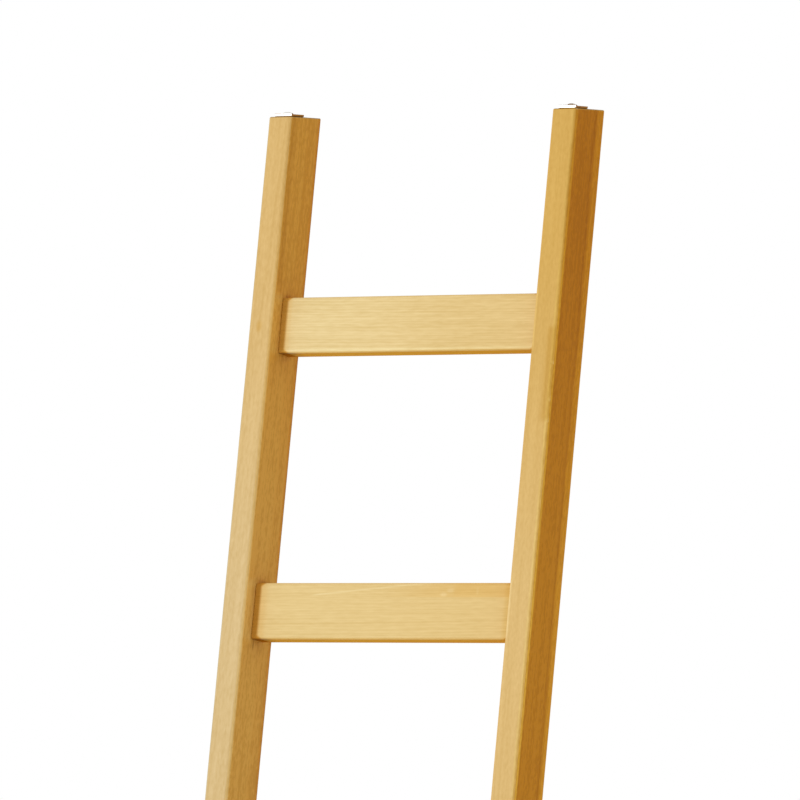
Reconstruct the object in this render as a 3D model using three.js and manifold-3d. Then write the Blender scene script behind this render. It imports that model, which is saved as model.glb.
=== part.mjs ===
// A leaning wooden ladder: two flat rails, five flat rungs set between them on
// blind glued dowels, a lipped steel plate on top of each rail and a rubber pad under it.
// Millimetres, +Z up, +X to the right, the climber's side faces -Y.
// The origin is on the floor, under the middle of the ladder's bounding box.

import * as THREE from 'three';
import { mergeVertices } from 'three/addons/utils/BufferGeometryUtils.js';
import Module from 'manifold-3d';

const wasm = await Module();
wasm.setup();

// Driving dimensions of the frame
const LEAN_DEG = 9.75;          // the rails lean back from upright by this much
const OUTER_WIDTH = 380;        // over both rails
const RAIL_W = 28;              // a rail across the ladder
const RAIL_D = 60;              // a rail from its front to its back, square to its length
const RAIL_EDGE_R = 3.5;        // rounded long edges of a rail
const END_EASE = 1;             // sanded edge round the level ends of a rail
const RUNG_COUNT = 5;
const FIRST_RUNG = 290;         // floor to the middle of the lowest rung, along the rail
const RUNG_PITCH = 305;         // middle to middle, along the rail
const TOP_REACH = 226.5;        // middle of the top rung to the rail's top, along the rail
const RUNG_H = 60;              // a rung along the rail
const RUNG_T = 24;              // a rung from its front to its back
const RUNG_EDGE_R = 3;          // rounded long edges of a rung
const RUNG_SETBACK = 18;        // rail front to rung front
const SHOULDER_EASE = 0.5;      // sanded edge round the ends of a rung

// Driving dimensions of the joints and fasteners
const DOWEL_R = 4;
const DOWEL_IN_RAIL = 13;
const DOWEL_IN_RUNG = 16;
const DOWEL_SPACING = 32;       // between the two dowels of one rung end
const DOWEL_FLUTES = 10;
const FLUTE_DEPTH = 0.35;
const DOWEL_CHAMFER = 1;
const HOLE_SPARE = 1;           // a blind hole is this much deeper than what it holds

const PLATE_W = 22;             // top plate, across the rail
const PLATE_D = 24;             // top plate, front to back
const PLATE_T = 2.4;
const PLATE_CORNER_R = 1.2;
const PLATE_CHAMFER = 0.6;
const PLATE_FROM_FRONT = 7;     // rail's front edge to the plate, along the level top
const LIP_H = 3.6;              // turned-up front edge of the plate, from its underside
const LIP_FOOT = 3;             // depth of the lip where it leaves the plate
const LIP_TOP = 1.4;            // and at its top
const PLATE_SCREW_IN = 8.5;     // plate's front edge to its screw

const SCREW_R = 2;
const SCREW_TIP = 4;            // length of the pointed end
const PLATE_SCREW_L = 30;       // under the head
const PAN_HEAD_R = 4.25;
const PAN_HEAD_H = 2.6;

const PAD_T = 5;                // rubber pad under each rail
const PAD_INSET = 1;            // pad edge to rail edge
const PAD_CORNER_R = 3;
const PAD_CHAMFER = 0.6;
const PAD_SCREW_SPACING = 38;
const PAD_SCREW_L = 28;         // over all
const SUNK_HEAD_R = 3.8;
const SUNK_HEAD_H = 2.2;
const SUNK_DEPTH = 1.2;         // sole to screw head
const GROOVE_COUNT = 4;
const GROOVE_PITCH = 5.5;
const GROOVE_W = 2;
const GROOVE_DEPTH = 1.2;

// Clearances
const SEAT_GAP = 0.3;           // glue line or seat between two pieces
const ROUND_GAP = 0.3;          // round a dowel or a screw

// Facets
const ARC_STEPS = 4;            // per rounded corner
const ROUND_SIDES = 20;

// Sizes that follow
const LEAN = THREE.MathUtils.degToRad(LEAN_DEG);
const TOP_Z = (FIRST_RUNG + (RUNG_COUNT - 1) * RUNG_PITCH + TOP_REACH) * Math.cos(LEAN);
const RAIL_FOOT_Z = PAD_T + SEAT_GAP;
const LEVEL_D = RAIL_D / Math.cos(LEAN);
const RAIL_X = (OUTER_WIDTH - RAIL_W) / 2;
const INNER_X = OUTER_WIDTH / 2 - RAIL_W;
const RUNG_LENGTH = 2 * (INNER_X - SEAT_GAP);
const RUNG_Y = -RAIL_D / 2 + RUNG_SETBACK + RUNG_T / 2;
const MIDDLE_Y = (RAIL_FOOT_Z + TOP_Z) / 2 * Math.tan(LEAN);
const SIDES = [{ name: 'left', sign: -1 }, { name: 'right', sign: 1 }];

// Materials
const finish = (color, roughness, metalness) =>
  new THREE.MeshStandardMaterial({ color, roughness, metalness });
const railWood = () => finish(0xd9a55c, 0.42, 0);
const rungWood = () => finish(0xe6c68c, 0.42, 0);
const dowelWood = () => finish(0xdcc08e, 0.7, 0);
const steel = () => finish(0xb9b6ae, 0.32, 1);
const rubber = () => finish(0x2a2927, 0.85, 0);

// Boolean helpers
function toSolid(geometry) {
  const bare = geometry.clone();
  bare.deleteAttribute('normal');
  bare.deleteAttribute('uv');
  const merged = mergeVertices(bare, 1e-4);
  return new wasm.Manifold(new wasm.Mesh({
    numProp: 3,
    vertProperties: new Float32Array(merged.attributes.position.array),
    triVerts: new Uint32Array(merged.index.array),
  }));
}

function toGeometry(solid) {
  const mesh = solid.getMesh();
  const geometry = new THREE.BufferGeometry();
  geometry.setAttribute('position', new THREE.BufferAttribute(mesh.vertProperties, 3));
  geometry.setIndex(new THREE.BufferAttribute(mesh.triVerts, 1));
  geometry.computeVertexNormals();
  return geometry;
}

function cut(geometry, cutters) {
  let solid = toSolid(geometry);
  for (const cutter of cutters) solid = solid.subtract(toSolid(cutter));
  return toGeometry(solid);
}

// Basic forms
function roundedRectangle(width, height, radius) {
  const x = width / 2;
  const y = height / 2;
  const r = Math.min(radius, 0.49 * Math.min(width, height));
  const shape = new THREE.Shape();
  shape.absarc(x - r, y - r, r, 0, Math.PI / 2, false);
  shape.absarc(-x + r, y - r, r, Math.PI / 2, Math.PI, false);
  shape.absarc(-x + r, -y + r, r, Math.PI, 1.5 * Math.PI, false);
  shape.absarc(x - r, -y + r, r, 1.5 * Math.PI, 2 * Math.PI, false);
  shape.closePath();
  return shape;
}

// A prism from z = 0 to z = length whose end edges are chamfered inwards
function easedPrism(shape, length, ease) {
  const geometry = new THREE.ExtrudeGeometry(shape, {
    depth: length - 2 * ease,
    curveSegments: ARC_STEPS,
    bevelEnabled: true,
    bevelThickness: ease,
    bevelSize: ease,
    bevelOffset: -ease,
    bevelSegments: 1,
  });
  return geometry.translate(0, 0, ease);
}

function verticalRod(radius, fromZ, toZ, sides = ROUND_SIDES) {
  const rod = new THREE.CylinderGeometry(radius, radius, toZ - fromZ, sides);
  return rod.rotateX(Math.PI / 2).translate(0, 0, (fromZ + toZ) / 2);
}

// A rod along X that starts at fromX and ends at toX
function crossRod(radius, fromX, toX, y, z) {
  const rod = new THREE.CylinderGeometry(radius, radius, Math.abs(toX - fromX), ROUND_SIDES);
  return rod.rotateZ(Math.PI / 2).translate((fromX + toX) / 2, y, z);
}

function revolve(profile, sides = ROUND_SIDES) {
  const points = profile.map(([r, z]) => new THREE.Vector2(r, z));
  return new THREE.LatheGeometry(points, sides).rotateX(Math.PI / 2);
}

// Places that several pieces share
const rungHeight = (index) => FIRST_RUNG + index * RUNG_PITCH;
const dowelOffsets = [{ name: 'lower', z: -DOWEL_SPACING / 2 }, { name: 'upper', z: DOWEL_SPACING / 2 }];
const padScrews = [{ name: 'front', y: -PAD_SCREW_SPACING / 2 }, { name: 'back', y: PAD_SCREW_SPACING / 2 }];
const padCentreY = RAIL_FOOT_Z * Math.tan(LEAN);
const plateFrontY = TOP_Z * Math.tan(LEAN) - LEVEL_D / 2 + PLATE_FROM_FRONT;
const plateScrewY = plateFrontY + PLATE_SCREW_IN;
const plateFootZ = TOP_Z + SEAT_GAP;
const plateTopZ = plateFootZ + PLATE_T;

// A rail is drawn upright, with level ends, then sheared back to its lean.
// The result is turned into the ladder's own frame, where the rail runs along Z.
function railGeometry(side) {
  const length = TOP_Z - RAIL_FOOT_Z;
  const blank = easedPrism(roundedRectangle(RAIL_W, RAIL_D, RAIL_EDGE_R), length, END_EASE);
  const shear = new THREE.Matrix4().set(
    1, 0, 0, 0,
    0, 1 / Math.cos(LEAN), Math.tan(LEAN), 0,
    0, 0, 1, 0,
    0, 0, 0, 1,
  );
  blank.translate(0, 0, RAIL_FOOT_Z).applyMatrix4(shear);

  const holeR = SCREW_R + ROUND_GAP;
  const plateHole = verticalRod(holeR, plateTopZ - PLATE_SCREW_L - HOLE_SPARE, TOP_Z + END_EASE);
  const levelCutters = [plateHole.translate(0, plateScrewY, 0)];
  for (const { y } of padScrews) {
    const top = SUNK_DEPTH + PAD_SCREW_L + HOLE_SPARE;
    const padHole = verticalRod(holeR, RAIL_FOOT_Z - END_EASE, top);
    levelCutters.push(padHole.translate(0, padCentreY + y, 0));
  }
  const toLadder = new THREE.Matrix4().makeRotationX(LEAN);
  blank.applyMatrix4(toLadder);
  for (const cutter of levelCutters) cutter.applyMatrix4(toLadder);

  const innerFace = -side.sign * RAIL_W / 2;
  const holeEnd = innerFace + side.sign * (DOWEL_IN_RAIL + HOLE_SPARE);
  const holeMouth = innerFace - side.sign * HOLE_SPARE;
  const dowelCutters = [];
  for (let i = 0; i < RUNG_COUNT; i += 1) {
    for (const { z } of dowelOffsets) {
      dowelCutters.push(crossRod(DOWEL_R + ROUND_GAP, holeEnd, holeMouth, RUNG_Y, rungHeight(i) + z));
    }
  }
  return cut(blank, [...levelCutters, ...dowelCutters]);
}

// A rung runs along X, with two blind dowel holes in each end
function rungGeometry() {
  const section = roundedRectangle(RUNG_H, RUNG_T, RUNG_EDGE_R);
  const blank = easedPrism(section, RUNG_LENGTH, SHOULDER_EASE);
  blank.translate(0, 0, -RUNG_LENGTH / 2).rotateY(Math.PI / 2);
  const cutters = [];
  for (const { sign } of SIDES) {
    const mouth = sign * (RUNG_LENGTH / 2 + HOLE_SPARE);
    const end = sign * (RUNG_LENGTH / 2 - DOWEL_IN_RUNG - HOLE_SPARE);
    for (const { z } of dowelOffsets) cutters.push(crossRod(DOWEL_R + ROUND_GAP, end, mouth, 0, z));
  }
  return cut(blank, cutters);
}

// A fluted dowel along X, centred on the origin, with chamfered ends
function dowelGeometry() {
  const length = DOWEL_IN_RAIL + DOWEL_IN_RUNG + SEAT_GAP;
  const shape = new THREE.Shape();
  const corners = 2 * DOWEL_FLUTES;
  for (let i = 0; i < corners; i += 1) {
    const angle = i * Math.PI / DOWEL_FLUTES;
    const radius = i % 2 === 0 ? DOWEL_R : DOWEL_R - FLUTE_DEPTH;
    const [x, y] = [radius * Math.cos(angle), radius * Math.sin(angle)];
    if (i === 0) shape.moveTo(x, y);
    else shape.lineTo(x, y);
  }
  shape.closePath();
  return easedPrism(shape, length, DOWEL_CHAMFER).translate(0, 0, -length / 2).rotateY(Math.PI / 2);
}

// The plate lies flat, with its underside at z = 0 and the middle of its front edge at the
// origin. It is cut down from the height of its lip.
function plateGeometry() {
  const blank = easedPrism(roundedRectangle(PLATE_W, PLATE_D, PLATE_CORNER_R), LIP_H, PLATE_CHAMFER);
  blank.translate(0, PLATE_D / 2, 0);
  const spare = 1;
  const corners = [
    [LIP_FOOT, PLATE_T], [PLATE_D + spare, PLATE_T], [PLATE_D + spare, LIP_H + spare],
    [LIP_TOP, LIP_H + spare], [LIP_TOP, LIP_H],
  ];
  const profile = new THREE.Shape(corners.map(([y, z]) => new THREE.Vector2(y, z)));
  const behindLip = new THREE.ExtrudeGeometry(profile, { depth: PLATE_W + 2 * spare, bevelEnabled: false });
  const alongX = new THREE.Matrix4().makeBasis(
    new THREE.Vector3(0, 1, 0), new THREE.Vector3(0, 0, 1), new THREE.Vector3(1, 0, 0),
  );
  behindLip.translate(0, 0, -PLATE_W / 2 - spare).applyMatrix4(alongX);
  const screwHole = verticalRod(SCREW_R + ROUND_GAP, -spare, PLATE_T + spare);
  return cut(blank, [behindLip, screwHole.translate(0, PLATE_SCREW_IN, 0)]);
}

// A domed screw, head up, with the underside of its head at z = 0
function panScrewGeometry() {
  const profile = [[0, -PLATE_SCREW_L], [SCREW_R, -PLATE_SCREW_L + SCREW_TIP], [SCREW_R, 0], [PAN_HEAD_R, 0]];
  const domeSteps = 4;
  const rim = 0.35 * PAN_HEAD_H;
  for (let i = 0; i <= domeSteps; i += 1) {
    const angle = i / domeSteps * Math.PI / 2;
    const radius = i === domeSteps ? 0 : PAN_HEAD_R * Math.cos(angle);
    profile.push([radius, rim + (PAN_HEAD_H - rim) * Math.sin(angle)]);
  }
  return revolve(profile);
}

// A countersunk screw that points up, with its flat head down at z = 0
function sunkScrewGeometry() {
  return revolve([
    [0, 0], [SUNK_HEAD_R, 0], [SCREW_R, SUNK_HEAD_H],
    [SCREW_R, PAD_SCREW_L - SCREW_TIP], [0, PAD_SCREW_L],
  ]);
}

// The pad stands on z = 0, with grooves in its sole and two countersunk holes
function padGeometry() {
  const width = RAIL_W - 2 * PAD_INSET;
  const depth = LEVEL_D - 2 * PAD_INSET;
  const blank = easedPrism(roundedRectangle(width, depth, PAD_CORNER_R), PAD_T, PAD_CHAMFER);
  const cutters = [];
  const sunkR = SUNK_HEAD_R + ROUND_GAP;
  const shankR = SCREW_R + ROUND_GAP;
  for (const { y } of padScrews) {
    const hole = revolve([
      [0, -1], [sunkR, -1], [sunkR, SUNK_DEPTH], [shankR, SUNK_DEPTH + SUNK_HEAD_H],
      [shankR, PAD_T + 1], [0, PAD_T + 1],
    ]);
    cutters.push(hole.translate(0, y, 0));
  }
  for (let i = 0; i < GROOVE_COUNT; i += 1) {
    const groove = new THREE.BoxGeometry(width + 2, GROOVE_W, 2 * GROOVE_DEPTH);
    cutters.push(groove.translate(0, (i - (GROOVE_COUNT - 1) / 2) * GROOVE_PITCH, 0));
  }
  return cut(blank, cutters);
}

// Assembly
function add(parent, name, geometry, material, position) {
  const mesh = new THREE.Mesh(geometry, material);
  mesh.name = name;
  mesh.position.set(...position);
  parent.add(mesh);
  return mesh;
}

const ladder = new THREE.Group();

// What leans: its group is turned back about the floor line, so its Z runs up the rails
const leaning = new THREE.Group();
leaning.rotation.x = -LEAN;
leaning.position.y = -MIDDLE_Y;
ladder.add(leaning);

for (const side of SIDES) {
  add(leaning, `rail_${side.name}`, railGeometry(side), railWood(), [side.sign * RAIL_X, 0, 0]);
}
for (let i = 0; i < RUNG_COUNT; i += 1) {
  const number = i + 1;
  add(leaning, `rung_${number}`, rungGeometry(), rungWood(), [0, RUNG_Y, rungHeight(i)]);
  for (const side of SIDES) {
    const middle = INNER_X - SEAT_GAP / 2 + (DOWEL_IN_RAIL - DOWEL_IN_RUNG) / 2;
    for (const offset of dowelOffsets) {
      const place = [side.sign * middle, RUNG_Y, rungHeight(i) + offset.z];
      add(leaning, `dowel_${number}_${side.name}_${offset.name}`, dowelGeometry(), dowelWood(), place);
    }
  }
}

// What stays level: the plates on the rail tops and the pads on the floor
const level = new THREE.Group();
level.position.y = -MIDDLE_Y;
ladder.add(level);

for (const side of SIDES) {
  const x = side.sign * RAIL_X;
  add(level, `top_plate_${side.name}`, plateGeometry(), steel(), [x, plateFrontY, plateFootZ]);
  add(level, `top_plate_screw_${side.name}`, panScrewGeometry(), steel(),
    [x, plateScrewY, plateTopZ + SEAT_GAP]);
  add(level, `foot_pad_${side.name}`, padGeometry(), rubber(), [x, padCentreY, 0]);
  for (const screw of padScrews) {
    add(level, `foot_screw_${side.name}_${screw.name}`, sunkScrewGeometry(), steel(),
      [x, padCentreY + screw.y, SUNK_DEPTH]);
  }
}

export default ladder;
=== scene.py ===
import math

import bpy
from mathutils import Matrix, Vector, noise


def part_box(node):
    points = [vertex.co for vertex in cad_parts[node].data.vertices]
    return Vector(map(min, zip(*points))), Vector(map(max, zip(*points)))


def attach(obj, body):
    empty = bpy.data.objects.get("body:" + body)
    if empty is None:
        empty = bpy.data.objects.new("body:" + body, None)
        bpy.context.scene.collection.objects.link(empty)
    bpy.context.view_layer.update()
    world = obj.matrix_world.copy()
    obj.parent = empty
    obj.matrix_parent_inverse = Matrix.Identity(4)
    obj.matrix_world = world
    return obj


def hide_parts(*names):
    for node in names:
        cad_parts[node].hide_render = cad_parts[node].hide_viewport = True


# A leaning wooden ladder, in metres: two honey-coloured rails, five paler rungs, a small steel
# plate with a turned-up front edge on each level rail top, and a grooved rubber pad under each
# level foot.
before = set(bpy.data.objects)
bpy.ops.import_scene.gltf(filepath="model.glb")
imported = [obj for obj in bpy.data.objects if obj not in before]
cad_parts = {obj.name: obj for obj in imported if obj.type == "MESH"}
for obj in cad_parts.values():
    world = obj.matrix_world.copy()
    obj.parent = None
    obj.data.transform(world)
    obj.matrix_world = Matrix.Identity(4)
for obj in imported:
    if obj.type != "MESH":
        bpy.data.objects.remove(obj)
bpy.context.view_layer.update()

# Sizes of the boards that their boxes don't give
RAIL_EDGE_R = 0.0035
RAIL_END_EASE = 0.0015
RUNG_EDGE_R = 0.003
RUNG_END_EASE = 0.0008
RUNG_SEATING = 0.00027          # a rung's shoulders close most of the seat gap to the rails
LEAST_EDGE_SHARE = 0.2          # what the easing of an end leaves of an edge radius, at least
EDGE_WANDER = 0.07              # share by which a hand-sanded edge radius comes and goes
WANDER_SCALE = (9.1, 100, 14)   # how fast it changes from edge to edge, by width and along a board
DOWEL_HOLE_R = 0.0043
DOWEL_HOLE_SPARE = 0.001

# Small bruises on a rail's front right edge: heights up the rail, reach, depth and extra rings
NICKS = {"left": (), "right": (1.463, 1.424, 1.402)}
NICK_REACH = 0.0035
NICK_DEPTH = 0.0012
NICK_STATION_GAP = 0.0007
NICK_STATIONS = 6               # above and below the middle of a bruise

# Sizes of the plates that their boxes don't give
PLATE_T = 0.0024
PLATE_CORNER_R = 0.0012
PLATE_EASE = 0.0009
PLATE_HOLE_R = 0.0023
LIP_FOOT = 0.003                # depth of the plate's turned-up front edge where it leaves the plate
LIP_TOP = 0.0014                # and at its top
PLATE_BURR = 0.0002             # size of the broken edges left by the cutter
PLATE_BURR_STEPS = 2

# Sizes of the screws that their boxes don't give
PAN_HEAD_H = 0.0026
PAN_RIM_H = 0.0008
PAN_EASE_IN = 0.0003            # the broken lower edge of a pan head, inwards
PAN_EASE_UP = 0.0002            # and upwards
PAN_FULLNESS = 0.8              # below 1, the dome is fuller than a quarter circle
PAN_CROWN = 0.08                # share of the head's radius at the last ring of the dome
SUNK_HEAD_H = 0.0022
SUNK_EASE_IN = 0.0002
SUNK_EASE_DOWN = 0.0003
SCREW_CREST_R = 0.002
SCREW_ROOT_R = 0.00145
SCREW_POINT_R = 0.0001
SCREW_PITCH = 0.0018
SCREW_FLANK = 0.28              # share of the pitch from the crest of a thread down to its root
SCREW_TIP = 0.004
CROSS_REACH = 0.0021            # from the middle of a cross recess to its ends
CROSS_W = 0.0009
CROSS_DEPTH = 0.0014
CROSS_TAPER = 0.35              # share of the reach that is left at the bottom of the recess
PILOT_HOLE_R = 0.0023
PILOT_SPARE = 0.001

# Sizes of the pads that their boxes don't give
PAD_CORNER_R = 0.003
PAD_EASE = 0.0006
PAD_GROOVES = 4
PAD_GROOVE_PITCH = 0.0055
PAD_GROOVE_W = 0.002
PAD_GROOVE_DEPTH = 0.0012
PAD_GROOVE_CORNER_R = 0.0005
PAD_GROOVE_END_EASE = 0.0001
SINK_SPARE = 0.0003             # room round a countersunk head
SINK_START = -0.001             # the countersink's cutter starts below the sole

# Fineness of the meshes
ARC_STEPS = 8
EASE_STEPS = 4
FLAT_COLUMNS = 3
STATION_GAP = 0.005
ROUND_SIDES = 48
SCREW_SIDES = 24
THREAD_STEPS = 10               # rings for each turn of a thread
DOME_STEPS = 8
SHARP_ANGLE = math.radians(35)  # edges that turn by more than this stay crisp

# The camera stands to the right of the ladder's front and looks slightly up
CAMERA_AZIMUTH = math.radians(32.39)
CAMERA_DISTANCE = 10.736        # from the middle of the top rung, on the level
CAMERA_DROP = 0.2782            # below the middle of the top rung
CAMERA_YAW_OFF = math.radians(0.091)
CAMERA_PITCH = math.radians(1.068)
CAMERA_CLIP_END = 200
FOCAL_PX = 10266
IMAGE_PX = 800
SENSOR_MM = 36

# Light and floor
KEY_AZIMUTH = math.radians(-27)
KEY_HEIGHT = math.radians(16)
KEY_DISTANCE = 4.0
KEY_SIZE = 0.62
KEY_POWER = 46
FILL_LEVEL = 0.71
FLOOR_REACH = 30

# The sign of each side's X, and the rungs from the lowest up
SIDES = {"left": -1, "right": 1}
RUNGS = [name for name in sorted(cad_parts) if name.startswith("rung_")]


def middle(node):
    low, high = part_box(node)
    return (low + high) / 2


# The ladder's own frame: Z runs up the rails and Y goes from front to back
UP_THE_RAILS = (middle(RUNGS[-1]) - middle(RUNGS[0])).normalized()
LEAN = math.atan2(UP_THE_RAILS.y, UP_THE_RAILS.z)
LADDER_FOOT = middle(RUNGS[0]) - UP_THE_RAILS * (middle(RUNGS[0]).z / UP_THE_RAILS.z)
LADDER = Matrix.Translation(LADDER_FOOT) @ Matrix.Rotation(-LEAN, 4, "X")


def ladder_box(node):
    """Lowest and highest corner of a CAD node in the ladder's own frame."""
    to_ladder = LADDER.inverted()
    points = [to_ladder @ vertex.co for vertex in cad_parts[node].data.vertices]
    return tuple(Vector([pick(p[axis] for p in points) for axis in range(3)]) for pick in (min, max))


# Meshes
CORNERS = ((1, 1), (-1, 1), (-1, -1), (1, -1))


def new_object(name, points, faces):
    mesh = bpy.data.meshes.new(name)
    mesh.from_pydata([tuple(p) for p in points], [], faces)
    mesh.update()
    piece = bpy.data.objects.new(name, mesh)
    bpy.context.scene.collection.objects.link(piece)
    return piece


def section(width, depth, radii, inset):
    """An anticlockwise rounded rectangle, with one radius for each of CORNERS."""
    arcs = []
    for index, (side_x, side_y) in enumerate(CORNERS):
        radius = max(radii[index] - inset, LEAST_EDGE_SHARE * radii[index])
        centre = Vector((side_x * (width / 2 - inset - radius), side_y * (depth / 2 - inset - radius)))
        angles = [math.pi / 2 * (index + step / ARC_STEPS) for step in range(ARC_STEPS + 1)]
        arcs.append([centre + radius * Vector((math.cos(a), math.sin(a))) for a in angles])
    points = []
    for index, arc in enumerate(arcs):
        following = arcs[(index + 1) % len(arcs)][0]
        points += arc
        for column in range(1, FLAT_COLUMNS + 1):
            points.append(arc[-1].lerp(following, column / (FLAT_COLUMNS + 1)))
    return points


def eased_ends(low, high, ease):
    """Stations and insets that round both ends of a prism over."""
    angles = [math.pi / 2 * step / EASE_STEPS for step in range(EASE_STEPS + 1)]
    top = [(high - ease * (1 - math.sin(a)), ease * (1 - math.cos(a))) for a in angles]
    bottom = [(low + high - station, inset) for station, inset in reversed(top)]
    return bottom, top


def skin(rings, slope=0):
    """Points and faces of a closed solid over rings of as many points, each ring at its own height."""
    count = len(rings[0][1])
    points = [(p.x, p.y, height + slope * p.y) for height, ring in rings for p in ring]
    faces = []
    for level in range(len(rings) - 1):
        base = level * count
        for i in range(count):
            j = (i + 1) % count
            faces.append((base + i, base + j, base + count + j, base + count + i))
    faces.append(tuple(reversed(range(count))))
    faces.append(tuple(range((len(rings) - 1) * count, len(rings) * count)))
    return points, faces


def board(name, width, depth, low, high, radius, ease, slope=0, wander=0, extra=()):
    """A board along Z with rounded long edges and eased ends. With a slope, its ends lie askew."""
    bottom, top = eased_ends(low, high, ease)
    first, last = bottom[-1][0], top[0][0]
    steps = max(1, round((last - first) / STATION_GAP))
    stations = {round(first + (last - first) * step / steps, 5) for step in range(1, steps)}
    stations |= {round(z, 5) for z in extra if first < z < last}
    per_edge, per_width, per_height = WANDER_SCALE
    rings = []
    for height, inset in [*bottom, *((z, 0) for z in sorted(stations)), *top]:
        radii = []
        for index in range(len(CORNERS)):
            sway = noise.noise(Vector((per_edge * index, width * per_width, height * per_height)))
            radii.append(radius * (1 + wander * sway))
        rings.append((height, section(width, depth, radii, inset)))
    return new_object(name, *skin(rings, slope))


def dent(piece, corner, z):
    """Presses a bruise into a long edge at a height. corner is the edge's place across the board."""
    inward = Vector((-corner[0], -corner[1], 0)).normalized()
    for vertex in piece.data.vertices:
        away = Vector((vertex.co.x - corner[0], vertex.co.y - corner[1], vertex.co.z - z))
        share = 1 - away.length / NICK_REACH
        if share > 0:
            vertex.co += inward * NICK_DEPTH * share * share * (3 - 2 * share)


def circle(radius, sides=ROUND_SIDES):
    angles = [2 * math.pi * step / sides for step in range(sides)]
    return [Vector((radius * math.cos(a), radius * math.sin(a))) for a in angles]


def turned(name, profile):
    """A round solid about Z over a profile of heights and radii."""
    return new_object(name, *skin([(height, circle(radius)) for height, radius in profile]))


def rod(radius, start, end):
    """A closed rod between two points, to cut a hole with."""
    way = Vector(end) - Vector(start)
    piece = turned("rod", [(0, radius), (way.length, radius)])
    piece.data.transform(Matrix.Translation(start) @ way.to_track_quat("Z", "Y").to_matrix().to_4x4())
    return piece


def hole_rod(node, axis, radius, spare):
    """A rod for the hole that a dowel or screw along an axis sits in, longer than it at both ends."""
    low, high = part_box(node)
    half = Vector((0, 0, 0))
    half[axis] = (high[axis] - low[axis]) / 2 + spare
    return rod(radius, middle(node) - half, middle(node) + half)


def dowel_hole_rod(node):
    return hole_rod(node, 0, DOWEL_HOLE_R, DOWEL_HOLE_SPARE)


def carve(piece, cutters):
    """Cuts the cutters out of a piece and throws them away."""
    for cutter in cutters:
        cutter_mesh = cutter.data
        change = piece.modifiers.new("carve", "BOOLEAN")
        change.object = cutter
        change.solver = "EXACT"
        bpy.context.view_layer.update()
        shown = piece.evaluated_get(bpy.context.evaluated_depsgraph_get())
        carved = bpy.data.meshes.new_from_object(shown)
        piece.modifiers.clear()
        piece.data = carved
        bpy.data.objects.remove(cutter)
        bpy.data.meshes.remove(cutter_mesh)


def carve_in_place(piece, matrix, cutters):
    """Cuts with cutters that stand where the finished piece will, and takes the piece back."""
    piece.data.transform(matrix)
    carve(piece, cutters)
    piece.data.transform(matrix.inverted())


def finish_piece(piece, matrix, material, slot, *nodes):
    """Puts a piece in its place, smooths its rounded parts and lets it stand for its CAD nodes."""
    piece.data.transform(matrix)
    piece.data.materials.clear()
    piece.data.materials.append(material)
    piece.data.shade_smooth()
    piece.data.set_sharp_from_angle(angle=SHARP_ANGLE)
    even = piece.modifiers.new("even_shading", "WEIGHTED_NORMAL")
    even.keep_sharp = True
    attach(piece, "root")
    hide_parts(*nodes)


# Node graphs
def linear(red, green, blue):
    """A colour written as 0 to 255 on screen, as Blender's own linear values."""
    def channel(value):
        share = value / 255
        return share / 12.92 if share <= 0.04045 else ((share + 0.055) / 1.055) ** 2.4
    return (channel(red), channel(green), channel(blue), 1)


class Graph:
    """One material and short ways to add nodes to it."""

    def __init__(self, name):
        self.material = bpy.data.materials.new(name)
        self.material.use_nodes = True
        self.tree = self.material.node_tree
        self.shader = self.tree.nodes["Principled BSDF"]

    def feed(self, node, inputs):
        for key, value in inputs.items():
            if isinstance(value, bpy.types.NodeSocket):
                self.tree.links.new(value, node.inputs[key])
            else:
                node.inputs[key].default_value = value

    def add(self, kind, inputs, **settings):
        node = self.tree.nodes.new(kind)
        for key, value in settings.items():
            setattr(node, key, value)
        self.feed(node, inputs)
        return node

    def math(self, operation, *values):
        return self.add("ShaderNodeMath", dict(enumerate(values)), operation=operation).outputs[0]

    def times(self, first, *others):
        """The product of all the values."""
        for other in others:
            first = self.math("MULTIPLY", first, other)
        return first

    def around(self, value, reach):
        """Turns a value from 0 to 1 into one from minus to plus half the reach."""
        return self.math("MULTIPLY", self.math("SUBTRACT", value, 0.5), reach)

    def vector(self, operation, *values):
        node = self.add("ShaderNodeVectorMath", dict(enumerate(values)), operation=operation)
        return node.outputs["Value" if operation == "LENGTH" else "Vector"]

    def split(self, vector):
        """The X, Y and Z of a vector."""
        return self.add("ShaderNodeSeparateXYZ", {0: vector}).outputs

    def step(self, value, start, end, low=0.0, high=1.0):
        """Goes smoothly from low to high as value goes from start to end."""
        inputs = {"Value": value, "From Min": start, "From Max": end, "To Min": low, "To Max": high}
        return self.add("ShaderNodeMapRange", inputs, interpolation_type="SMOOTHSTEP").outputs["Result"]

    def noise(self, point, scale, detail=2.0, seed=0.0):
        """Noise from 0 to 1 with its own scale along each axis."""
        stretched = self.vector("MULTIPLY", point, scale)
        moved = self.vector("ADD", stretched, (seed, 1.7 * seed, 2.3 * seed))
        inputs = {"Vector": moved, "Scale": 1.0, "Detail": detail}
        return self.add("ShaderNodeTexNoise", inputs).outputs[0]

    def noise_along(self, kind, value, **inputs):
        """Noise from 0 to 1 that changes with one value only."""
        return self.add(kind, {"W": value, **inputs}, noise_dimensions="1D").outputs[0]

    def mix(self, share, first, second, blend="MIX"):
        inputs = {0: share, 6: first, 7: second}
        return self.add("ShaderNodeMix", inputs, data_type="RGBA", blend_type=blend).outputs[2]

    def bump(self, height, strength, distance):
        node = self.add("ShaderNodeBump", {"Strength": strength, "Distance": distance, "Height": height})
        self.feed(self.shader, {"Normal": node.outputs["Normal"]})


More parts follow.
